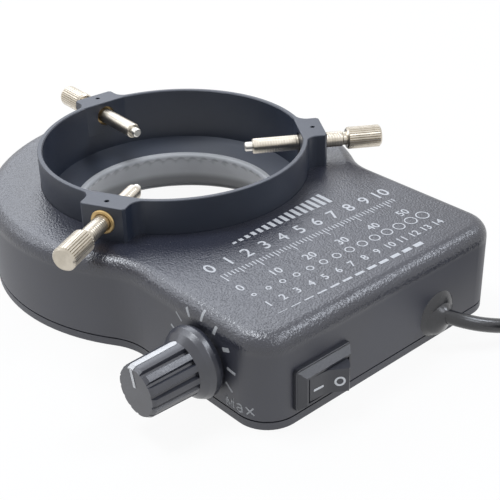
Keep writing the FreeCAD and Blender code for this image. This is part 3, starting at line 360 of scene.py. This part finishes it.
def circuitBoard(name, colour, track):
    # solder mask over raised tracks
    finish = Finish(name)
    place = finish.place()
    tracks = finish.cells(place, boardLook["tracks"], "F1").over(*boardLook["edge"])
    grain = finish.noise(place, boardLook["grain"], detail=2.0)
    finish.feed("baseColor", finish.mix(tracks, colour, track))
    finish.feed("roughness", boardLook["roughness"] + grain * boardLook["dulls"])
    finish.bump(tracks, boardLook["depth"], boardLook["relief"])
    return finish.material


coilLook = {
    "ridge": (0.75, 0.38, 0.20),
    # painted shade: the colour of the creases between turns
    "groove": (0.42, 0.18, 0.08),
    "turns": 800.0,
    "roughness": 0.3,
    "dulls": 0.2,
    "depth": 0.0001,
    "relief": 0.8,
}


def woundCopper():
    # bare wire, wound turn beside turn, with painted shade in the grooves between turns
    finish = Finish("woundCopper", metallic=1.0)
    settings = {"wave_type": "BANDS", "bands_direction": "Z"}
    turns = finish.node("ShaderNodeTexWave", settings, vector=finish.place(), scale=coilLook["turns"])
    # painted shade: the bands turn darker in the grooves between turns
    finish.feed("baseColor", finish.mix(turns, coilLook["ridge"], coilLook["groove"]))
    finish.feed("roughness", coilLook["roughness"] + turns * coilLook["dulls"])
    finish.bump(turns, coilLook["depth"], coilLook["relief"])
    return finish.material


finishes = {
    "housing_plastic": pebbledPlastic(),
    "collar_plastic": collarPlastic(),
    "brass": platedMetal("brass", (0.66, 0.48, 0.23), (0.46, 0.32, 0.15), 0.26),
    "nickel": platedMetal("nickel", (0.60, 0.55, 0.47), (0.47, 0.43, 0.36), 0.20),
    "tip_white": platedMetal("tipMetal", (0.78, 0.76, 0.71), (0.64, 0.61, 0.56), 0.22),
    "knob_plastic": satinPlastic("knobPlastic", (0.028, 0.030, 0.042), (0.040, 0.043, 0.057), 0.26, 0.95),
    "white_plastic": paint("whitePointer", (0.78, 0.78, 0.78), 0.35),
    "switch_plastic": satinPlastic("switchPlastic", (0.018, 0.020, 0.028), (0.025, 0.027, 0.037), 0.34, 0.75),
    "steel": platedMetal("steel", (0.58, 0.58, 0.58), (0.40, 0.40, 0.40), 0.28),
    "soft_black": softRubber(),
    "diffuser": frostedDiffuser(),
    "board_white": circuitBoard("whiteBoard", (0.80, 0.81, 0.80), (0.66, 0.67, 0.66)),
    "board_green": circuitBoard("greenBoard", (0.02, 0.16, 0.06), (0.03, 0.24, 0.10)),
    "led_clear": plainPlastic("ledLens", (0.85, 0.84, 0.74), 0.12),
    "copper_wire": woundCopper(),
    "chip_black": plainPlastic("chipPlastic", (0.02, 0.02, 0.02), 0.45),
    "capacitor_sleeve": plainPlastic("capacitorSleeve", (0.02, 0.03, 0.08), 0.30),
    "wire_red": plainPlastic("wireRed", (0.45, 0.03, 0.02), 0.40),
}
inks = {
    "deck": paint("deckInk", (0.62, 0.63, 0.65), 0.45),
    "dial": paint("dialInk", (0.55, 0.56, 0.57), 0.5),
    "rocker": paint("rockerInk", (0.86, 0.87, 0.88), 0.4),
}


def dressNodes():
    for entry in frame["record"]["subparts"]:
        materials = nodes[entry["node"]].data.materials
        materials.clear()
        materials.append(finishes[entry["material_slot"]])
    print("finishes made:", len(finishes) + len(inks))


softenedEdges = {
    "widths": {"rocker": 0.25, "switch_frame": 0.22, "mounting_collar": 0.25},
    "segments": 2,
    "sharperThan": 35.0,
}


def softenEdges():
    for name, width in softenedEdges["widths"].items():
        bevel = nodes[name].modifiers.new("softened", "BEVEL")
        bevel.width = width * mm
        bevel.segments = softenedEdges["segments"]
        bevel.limit_method = "ANGLE"
        bevel.angle_limit = math.radians(softenedEdges["sharperThan"])
    print("edges softened:", len(softenedEdges["widths"]))


dressNodes()
softenEdges()


# making pieces

def addPiece(name, data, finish, body):
    piece = bpy.data.objects.new(name, data)
    bpy.context.scene.collection.objects.link(piece)
    piece.data.materials.append(finish)
    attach(piece, body)
    return piece


def meshData(name, points, faces, sharp):
    # smooth faces, with edges kept sharp where they turn by more than so many degrees
    mesh = bpy.data.meshes.new(name)
    mesh.from_pydata([tuple(p) for p in points], [], faces)
    mesh.validate()
    mesh.polygons.foreach_set("use_smooth", [True] * len(mesh.polygons))
    mesh.set_sharp_from_angle(angle=math.radians(sharp))
    return mesh


# cord: from the grommet along the bench, into a tied coil, and out to the plug

cord = {
    "diameter": 0.0034,
    "length": 1.2,
    "route": [(15.0, -75.6, 7.2), (16.25, -79.2, 6.95), (18.5, -82.3, 6.2), (21.7, -84.7, 5.15),
              (26.2, -86.8, 3.8), (33.0, -88.6, 2.6), (42.0, -90.1, 1.85), (50.8, -91.1, 1.8)],
    "tail": [(70.5, -117.3, 1.8), (69.0, -126.5, 1.75), (64.0, -135.0, 1.9), (56.5, -141.0, 3.7),
             (47.5, -143.6, 4.85)],
    "coil": {"centre": (48.3, -113.4), "layers": (2.45, 5.8, 9.15), "rings": (22.3, 19.0, 15.7),
             "enters": 83.0, "leaves": -10.0, "crossing": 0.25, "pointsPerTurn": 16},
    "roundness": 5,
    "smoothness": 6,
}
coilTurns = [(0, 0), (0, 1), (0, 2), (1, 2), (1, 1), (1, 0), (2, 0), (2, 1), (2, 2)]  # layer and ring


def coilPoints():
    # clockwise, crossing to the next turn's layer and ring in the last quarter of each turn
    coil = cord["coil"]
    cx, cy = coil["centre"]
    stops = coilTurns + [coilTurns[0]]
    total = 360.0 * len(coilTurns) + coil["enters"] - coil["leaves"]
    count = int(total / 360.0 * coil["pointsPerTurn"])
    points = []
    for index in range(1, count):
        travelled = total * index / count
        turn = min(int(travelled / 360.0), len(coilTurns))
        layer, ring = stops[turn]
        nextLayer, nextRing = stops[min(turn + 1, len(coilTurns))]
        crossed = max(0.0, 1.0 - (1.0 - travelled / 360.0 + turn) / coil["crossing"])
        blend = crossed * crossed * (3 - 2 * crossed)
        reach = coil["rings"][ring] * (1 - blend) + coil["rings"][nextRing] * blend
        height = coil["layers"][layer] * (1 - blend) + coil["layers"][nextLayer] * blend
        angle = math.radians(coil["enters"] - travelled)
        points.append((cx + reach * math.cos(angle), cy + reach * math.sin(angle), height))
    return points


def makeCord():
    route = cord["route"] + coilPoints() + cord["tail"]
    curve = bpy.data.curves.new("cord", "CURVE")
    curve.dimensions = "3D"
    curve.bevel_depth = cord["diameter"] / 2
    curve.bevel_resolution = cord["roundness"]
    curve.resolution_u = cord["smoothness"]
    spline = curve.splines.new("NURBS")
    spline.points.add(len(route) - 1)
    for point, spot in zip(spline.points, route):
        point.co = (*(v * mm for v in spot), 1.0)
    spline.order_u = 3
    spline.use_endpoint_u = True
    piece = addPiece("cord", curve, finishes["soft_black"], "housing")
    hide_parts("cord_lead", "cord_coil", "cord_tail")
    print("cord laid:", len(route), "points")


makeCord()


# screw threads: radii, pitch and profile in millimetres; a span is a direction, a start and an end

thread = {
    "pitch": 0.7,
    "root": 1.94,
    "rise": (0.004, 0.080),  # at the faded ends and in full
    "flank": 0.28,
    "land": 0.05,
    "steps": 28,
    "height": 27.2,
    "spans": {"left": (-153.1, 23.4, 46.4), "right": (-33.1, 20.7, 43.7), "back": (86.9, 19.1, 42.1)},
}


def threadMesh(name, turn, start, end):
    # a ridge that winds round the shank, fading in and out over half a turn
    out = Vector((math.cos(math.radians(turn)), math.sin(math.radians(turn)), 0))
    across, up = Vector((-out.y, out.x, 0)), Vector((0, 0, 1))
    turns = (end - start) / thread["pitch"]
    count = int(turns * thread["steps"])
    least, most = thread["rise"]
    points, faces = [], []
    for index in range(count + 1):
        wound = turns * index / count
        angle = wound * math.tau
        fade = min(1.0, wound * 2, (turns - wound) * 2)
        crest = thread["root"] + least + (most - least) * fade
        middle = start + wound * thread["pitch"]
        side = across * math.cos(angle) + up * math.sin(angle)
        for shift, reach in ((-thread["flank"], thread["root"]), (-thread["land"], crest),
                             (thread["land"], crest), (thread["flank"], thread["root"])):
            spot = out * (middle + shift) + side * reach + up * thread["height"]
            points.append(spot * mm)
        if index < count:
            here, ahead = index * 4, (index + 1) * 4
            faces += [(here + k, here + (k + 1) % 4, ahead + (k + 1) % 4, ahead + k) for k in range(4)]
    faces += [(3, 2, 1, 0), tuple(count * 4 + k for k in range(4))]
    return meshData(name, points, faces, sharp=30)


def makeThreads():
    for name, span in thread["spans"].items():
        mesh = threadMesh("thread_" + name, *span)
        addPiece("thread_" + name, mesh, finishes["nickel"], "screw_" + name)
    print("threads wound:", len(thread["spans"]))


makeThreads()


# printed marks: flat outlines in millimetres, laid on a surface as thin slabs of ink

ink = {"depth": 0.03, "capLength": 0.18, "capWidth": 0.7, "weight": 0.03, "curves": 3, "weld": 1e-8}


class Print:
    # gathers slabs in a flat sheet (u, v) and lays them on a surface
    def __init__(self, name):
        self.name = name
        self.sheet = bmesh.new()

    def slab(self, rim):
        # a closed slab from one outline
        low = [self.sheet.verts.new((u, v, -ink["depth"])) for u, v in rim]
        high = [self.sheet.verts.new((u, v, ink["depth"])) for u, v in rim]
        self.sheet.faces.new(high)
        self.sheet.faces.new(low[::-1])
        for index in range(len(rim)):
            after = (index + 1) % len(rim)
            self.sheet.faces.new((low[index], low[after], high[after], high[index]))

    def stroke(self, start, end, width, rounded=False):
        # a straight stroke, with its corners taken off if rounded
        first, last = Vector(start), Vector(end)
        along = (last - first).normalized()
        side = Vector((-along.y, along.x)) * width / 2
        cap = along * width * ink["capLength"] * rounded
        narrow = side * ink["capWidth"]
        rim = [first + narrow, first + cap + side, last - cap + side, last + narrow,
               last - narrow, last - cap - side, first + cap - side, first - narrow]
        self.slab([tuple(p) for p in rim])

    def ring(self, centre, outer, inner, sides=36):
        rims = []
        for level in (-ink["depth"], ink["depth"]):
            for reach in (outer, inner):
                angles = [math.tau * k / sides for k in range(sides)]
                rims.append([self.sheet.verts.new((centre[0] + reach * math.cos(angle),
                                                   centre[1] + reach * math.sin(angle), level))
                             for angle in angles])
        lowOut, lowIn, highOut, highIn = rims
        for a, b in ((lowOut, highOut), (highOut, highIn), (highIn, lowIn), (lowIn, lowOut)):
            for k in range(sides):
                after = (k + 1) % sides
                self.sheet.faces.new((a[k], a[after], b[after], b[k]))

    def text(self, words, size, middle):
        # words centred over a point of their base line
        lettering = bpy.data.curves.new("lettering", "FONT")
        lettering.body = words
        lettering.size = size
        lettering.align_x = "CENTER"
        lettering.offset = ink["weight"]
        lettering.extrude = ink["depth"]
        lettering.resolution_u = ink["curves"]
        carrier = bpy.data.objects.new("lettering", lettering)
        bpy.context.scene.collection.objects.link(carrier)
        shape = bpy.data.meshes.new_from_object(carrier)
        shape.transform(Matrix.Translation((*middle, 0)))
        self.sheet.from_mesh(shape)
        bpy.data.objects.remove(carrier)
        bpy.data.curves.remove(lettering)
        bpy.data.meshes.remove(shape)

    def turn(self, tilt):
        turned = Matrix.Rotation(math.radians(tilt), 4, "Z")
        bmesh.ops.transform(self.sheet, matrix=turned, verts=self.sheet.verts)

    def divide(self, step):
        # cuts the sheet into narrow strips, so that it can bend with the surface
        for axis in (0, 1):
            values = [v.co[axis] for v in self.sheet.verts]
            cuts = int((max(values) - min(values)) / step)
            for index in range(1, cuts + 1):
                at = [0.0, 0.0, 0.0]
                at[axis] = min(values) + index * step
                normal = [0.0, 0.0, 0.0]
                normal[axis] = 1.0
                everything = self.sheet.verts[:] + self.sheet.edges[:] + self.sheet.faces[:]
                bmesh.ops.bisect_plane(self.sheet, geom=everything, plane_co=at, plane_no=normal)

    def lay(self, surface, finish, body):
        for vertex in self.sheet.verts:
            vertex.co = surface(*vertex.co) * mm
        bmesh.ops.remove_doubles(self.sheet, verts=self.sheet.verts, dist=ink["weld"])
        bmesh.ops.recalc_face_normals(self.sheet, faces=self.sheet.faces)
        mesh = bpy.data.meshes.new(self.name)
        self.sheet.to_mesh(mesh)
        self.sheet.free()
        addPiece(self.name, mesh, finish, body)


# the dial: ticks round the knob and a word at each end, on the side and its rounded front corner

side = {"corner": (-29.8, -67.0), "cornerRadius": 8.0, "filletFrom": 18.8, "fillet": 3.7}


def sideSurface(along, height, rise):
    # the housing's -X side, its rounded front corner and its rounded upper edge, unrolled
    phi = min(max((height - side["filletFrom"]) / side["fillet"], 0.0), math.pi / 2)
    reach = side["cornerRadius"] - side["fillet"] * (1 - math.cos(phi)) + rise * math.cos(phi)
    z = min(height, side["filletFrom"]) + (side["fillet"] + rise) * math.sin(phi)
    cx, cy = side["corner"]
    turn = max((cy - along) / side["cornerRadius"], 0.0)
    return Vector((cx - reach * math.cos(turn), max(along, cy) - reach * math.sin(turn), z))


dial = {
    "ticks": [((-45.1, 8.4), (-46.7, 9.0), 0.50), ((-45.3, 14.2), (-46.8, 13.4), 0.55),
              ((-47.4, 18.4), (-49.2, 16.8), 0.45), ((-50.5, 20.9), (-52.0, 19.2), 0.60),
              ((-55.4, 22.4), (-55.6, 19.8), 0.70), ((-60.3, 20.7), (-59.7, 18.7), 0.85),
              ((-64.5, 17.1), (-62.4, 16.3), 1.00), ((-66.2, 11.9), (-63.6, 12.25), 0.75),
              ((-65.1, 6.8), (-63.0, 8.4), 0.55)],  # outer end, inner end and width
    "words": {"Max": {"start": (-63.25, 2.65), "tilt": 6.0}, "Min": {"start": (-41.0, 3.2), "tilt": -4.0}},
    "stroke": 0.36,
    "gap": 1.0,
    "strip": 0.6,
}
letters = {
    "M": (2.1, [[(0, 0), (0, 2.5)], [(0, 2.5), (1.05, 0.2)], [(1.05, 0.2), (2.1, 2.5)],
                [(2.1, 2.5), (2.1, 0)]]),
    "a": (1.75, [[(0.1, 1.55), (0.5, 1.8), (1.15, 1.8), (1.6, 1.45), (1.6, 0)],
                 [(1.6, 1.0), (0.6, 0.95), (0.1, 0.7), (0.1, 0.3), (0.5, 0), (1.1, 0), (1.6, 0.4)]]),
    "x": (1.85, [[(0, 0), (1.8, 1.8)], [(0, 1.8), (1.8, 0)]]),
    "i": (0.3, [[(0.15, 0), (0.15, 1.8)], [(0.15, 2.3), (0.15, 2.65)]]),
    "n": (1.6, [[(0, 0), (0, 1.8)], [(0, 1.25), (0.4, 1.7), (1.0, 1.8), (1.45, 1.4), (1.45, 0)]]),
}  # width and lines


def makeDial():
    # the sheet's u runs towards -Y, so that the words read from outside
    marks = Print("dial_marks")
    for outer, inner, width in dial["ticks"]:
        marks.stroke((-outer[0], outer[1]), (-inner[0], inner[1]), width, rounded=True)
    for word, setting in dial["words"].items():
        shift = Vector((-setting["start"][0], setting["start"][1]))
        turn = Matrix.Rotation(math.radians(setting["tilt"]), 2)
        along = 0.0
        for letter in word:
            width, lines = letters[letter]
            for line in lines:
                spots = [shift + turn @ Vector((along + x, y)) for x, y in line]
                for start, end in zip(spots, spots[1:]):
                    marks.stroke(start, end, dial["stroke"], rounded=True)
            along += width + dial["gap"]
    marks.divide(dial["strip"])
    marks.lay(lambda u, v, w: sideSurface(-u, v, w), inks["dial"], "housing")
    print("dial printed:", len(dial["ticks"]), "ticks")


makeDial()


# the deck's printed scales: level, ruler and circle gauge, all plain numbers

panel = {
    "centre": (0.0, -54.0),
    "deck": 22.5,
    "tilt": -2.0,
    "bars": {"count": 16, "from": -14.7, "step": 2.0, "base": 13.6, "low": 0.7, "high": 5.2, "width": 1.1},
    "levels": {"words": [str(n) for n in range(11)], "from": -26.0, "step": 5.3, "base": 7.1, "size": 5.0},
    "ruler": {"from": -26.0, "length": 53, "base": 5.0, "heights": (1.5, 2.2, 3.0), "width": 0.28},
    "numbers": {"words": [str(n * 10) for n in range(6)], "from": -26.0, "step": 10.0, "base": -2.8,
                "size": 3.3},
    "circles": {"count": 14, "from": -25.5, "step": 4.0, "middle": -5.7, "first": 0.45, "more": 0.085,
                "line": 0.3},
    "sizes": {"words": [str(n) for n in range(1, 15)], "from": -25.5, "step": 4.0, "base": -11.4,
              "size": 3.0},
    "gauge": {"count": 12, "from": -26.5, "step": 3.7, "middle": -14.4, "reach": 2.6, "first": 0.15,
              "more": 0.1},
}


def makePanel():
    scales = Print("deck_scales")
    bars = panel["bars"]
    for index in range(bars["count"]):
        x = bars["from"] + index * bars["step"]
        top = bars["base"] + bars["low"] + (bars["high"] - bars["low"]) * index / (bars["count"] - 1)
        scales.stroke((x, bars["base"]), (x, top), bars["width"])
    for row in ("levels", "numbers", "sizes"):
        line = panel[row]
        for index, words in enumerate(line["words"]):
            scales.text(words, line["size"], (line["from"] + index * line["step"], line["base"]))
    ruler = panel["ruler"]
    short, middle, long = ruler["heights"]
    for index in range(ruler["length"] + 1):
        reach = long if index % 10 == 0 else middle if index % 5 == 0 else short
        x = ruler["from"] + index
        scales.stroke((x, ruler["base"]), (x, ruler["base"] - reach), ruler["width"])
    circles = panel["circles"]
    half = circles["line"] / 2
    for index in range(circles["count"]):
        radius = circles["first"] + circles["more"] * index
        centre = (circles["from"] + index * circles["step"], circles["middle"])
        scales.ring(centre, radius + half, radius - half)
    gauge = panel["gauge"]
    for index in range(gauge["count"]):
        x, y = gauge["from"] + index * gauge["step"], gauge["middle"]
        scales.stroke((x, y), (x + gauge["reach"], y), gauge["first"] + gauge["more"] * index)
    scales.turn(panel["tilt"])
    cx, cy = panel["centre"]
    scales.lay(lambda u, v, w: Vector((u + cx, v + cy, panel["deck"] + w)), inks["deck"], "housing")
    print("deck scales printed")


makePanel()


# the rocker's I and O

rocker = {"pivot": (-22.0, -75.4, 8.55), "valley": 2.36, "slope": 15.0, "tilt": -19.0}
rockerMarks = {
    "rocker_i": {"stroke": ((-3.5, -0.55), (-0.95, -0.55)), "width": 0.55},
    "rocker_o": {"centre": (2.62, -0.22), "outer": 1.17, "inner": 0.72},
}


def facet(along, up, rise):
    # a point on the rocker's two sloping faces, tipped as it stands at rest
    slope = math.radians(rocker["slope"])
    lift = rocker["valley"] + abs(along) * math.tan(slope)
    normal = Vector((-math.copysign(math.sin(slope), along), -math.cos(slope), 0))
    spot = Vector((along, -lift, up)) + normal * rise
    spot.rotate(Matrix.Rotation(math.radians(rocker["tilt"]), 3, "Z"))
    return spot + Vector(rocker["pivot"])


def makeRockerMarks():
    for name, mark in rockerMarks.items():
        sign = Print(name)
        if "stroke" in mark:
            sign.stroke(*mark["stroke"], mark["width"], rounded=True)
        else:
            sign.ring(mark["centre"], mark["outer"], mark["inner"])
        sign.lay(facet, inks["rocker"], "rocker")
    print("rocker marked:", len(rockerMarks), "signs")


makeRockerMarks()


# a moulded lip where the cord leaves its grommet, flared towards the dome

cordLip = {
    "from": (15.8, -75.45, 6.4),
    "to": (15.9, -78.6, 7.0),
    "sides": 40,
    "profile": ((0.0, 4.8), (0.16, 4.5), (0.285, 4.05), (0.41, 3.5), (0.54, 2.95), (0.665, 2.45),
                (0.79, 2.05), (0.92, 1.75), (1.0, 1.66)),  # share of the way and radius
}


def makeCordLip():
    start, end = Vector(cordLip["from"]), Vector(cordLip["to"])
    along = (end - start).normalized()
    across = along.cross(Vector((0, 0, 1))).normalized()
    up = across.cross(along)
    sides = cordLip["sides"]
    last = len(cordLip["profile"]) - 1
    points, faces = [], []
    for share, reach in cordLip["profile"]:
        for k in range(sides):
            angle = math.tau * k / sides
            outward = across * math.cos(angle) + up * math.sin(angle)
            points.append((start.lerp(end, share) + outward * reach) * mm)
    for ring in range(last):
        low, high = ring * sides, (ring + 1) * sides
        for k in range(sides):
            after = (k + 1) % sides
            faces.append((low + k, low + after, high + after, high + k))
    faces.append(tuple(range(sides))[::-1])
    faces.append(tuple(last * sides + k for k in range(sides)))
    mesh = meshData("cord_lip", points, faces, sharp=60)
    addPiece("cord_lip", mesh, finishes["soft_black"], "housing")
    print("cord lip moulded")


makeCordLip()


# stage, camera and lights, in metres

cameraSetup = {
    "target": (0.000334, -0.028191, 0.010),
    "azimuth": -41.214,
    "elevation": 30.169,
    "roll": -1.517,
    "distance": 0.26616,
    "lens": 77.345,
    "sensor": 36.0,
    "nearest": 0.01,
}
lights = {
    "softboxBehind": {"place": (0.27, 0.60, 0.52), "size": (0.70, 0.50), "power": 2.5,
                      "tint": (0.86, 0.91, 1.0)},
    "softboxLeft": {"place": (-0.38, 0.56, 0.50), "size": (0.36, 0.36), "power": 1.1,
                    "tint": (0.88, 0.92, 1.0)},
    "softboxAbove": {"place": (-0.14, 0.24, 0.82), "size": (0.30, 0.30), "power": 4.0,
                     "tint": (0.90, 0.94, 1.0)},
    "softboxRight": {"place": (0.46, -0.29, 0.68), "size": (0.26, 0.26), "power": 2.0,
                     "tint": (0.86, 0.91, 1.0)},
    "softboxFront": {"place": (0.06, -0.54, 0.60), "size": (0.28, 0.28), "power": 0.9,
                     "tint": (0.88, 0.92, 1.0)},
}
lightAim = (0.0, -0.03, 0.01)
worldLevel = 0.12
floorSetup = {"reach": 3.0, "below": 0.0001, "glow": 0.93, "clouds": 3.0, "roughness": 0.6, "specular": 0.2,
              "colours": ((0.90, 0.90, 0.90), (0.93, 0.93, 0.93))}


def makeCamera():
    azimuth, elevation, roll = (math.radians(cameraSetup[k]) for k in ("azimuth", "elevation", "roll"))
    back = Vector((math.sin(azimuth) * math.cos(elevation), -math.cos(azimuth) * math.cos(elevation),
                   math.sin(elevation)))
    right = Vector((0, 0, 1)).cross(back).normalized()
    up = back.cross(right)
    turnedRight = right * math.cos(roll) + up * math.sin(roll)
    turnedUp = up * math.cos(roll) - right * math.sin(roll)
    data = bpy.data.cameras.new("camera")
    data.lens = cameraSetup["lens"]
    data.sensor_width = cameraSetup["sensor"]
    data.clip_start = cameraSetup["nearest"]
    camera = bpy.data.objects.new("camera", data)
    bpy.context.scene.collection.objects.link(camera)
    matrix = Matrix((turnedRight, turnedUp, back)).transposed().to_4x4()
    matrix.translation = Vector(cameraSetup["target"]) + back * cameraSetup["distance"]
    camera.matrix_world = matrix
    bpy.context.scene.camera = camera


def makeLights():
    for name, light in lights.items():
        data = bpy.data.lights.new(name, "AREA")
        data.shape = "RECTANGLE"
        data.size, data.size_y = light["size"]
        data.energy = light["power"]
        data.color = light["tint"]
        lamp = bpy.data.objects.new(name, data)
        bpy.context.scene.collection.objects.link(lamp)
        direction = Vector(lightAim) - Vector(light["place"])
        lamp.rotation_euler = direction.to_track_quat("-Z", "Y").to_euler()
        lamp.location = light["place"]


def makeWorld():
    # white to the eye and in reflections, dimmer as a light
    world = bpy.data.worlds.new("studio")
    bpy.context.scene.world = world
    world.use_nodes = True
    shading = Shading(world.node_tree)
    background = shading.nodes["Background"]
    background.inputs["Color"].default_value = (1.0, 1.0, 1.0, 1.0)
    strength = worldLevel + shading.seen() * (1.0 - worldLevel)
    shading.links.new(strength.socket, background.inputs["Strength"])


def makeFloor():
    # a pale floor that glows to the eye and keeps the shadow
    look, reach = floorSetup, floorSetup["reach"]
    corners = [(-reach, -reach, 0), (reach, -reach, 0), (reach, reach, 0), (-reach, reach, 0)]
    floor = bpy.data.objects.new("floor", meshData("floor", corners, [(0, 1, 2, 3)], sharp=40))
    bpy.context.scene.collection.objects.link(floor)
    floor.location.z = -look["below"]
    finish = Finish("paleFloor", roughness=look["roughness"], specularIorLevel=look["specular"])
    cloud = finish.noise(finish.place(), look["clouds"], detail=3.0)
    finish.feed("baseColor", finish.mix(cloud, *look["colours"]))
    glow = finish.node("ShaderNodeEmission", {}, (1.0, 1.0, 1.0, 1.0), 1.0)
    plain = Signal(finish, finish.shader.outputs[0])
    surface = finish.node("ShaderNodeMixShader", {}, finish.seen() * look["glow"], plain, glow)
    finish.links.new(surface.socket, finish.nodes["Material Output"].inputs["Surface"])
    floor.data.materials.append(finish.material)


makeCamera()
makeLights()
makeWorld()
makeFloor()
bpy.context.scene.view_settings.view_transform = "Standard"
print("stage, camera and lights made")
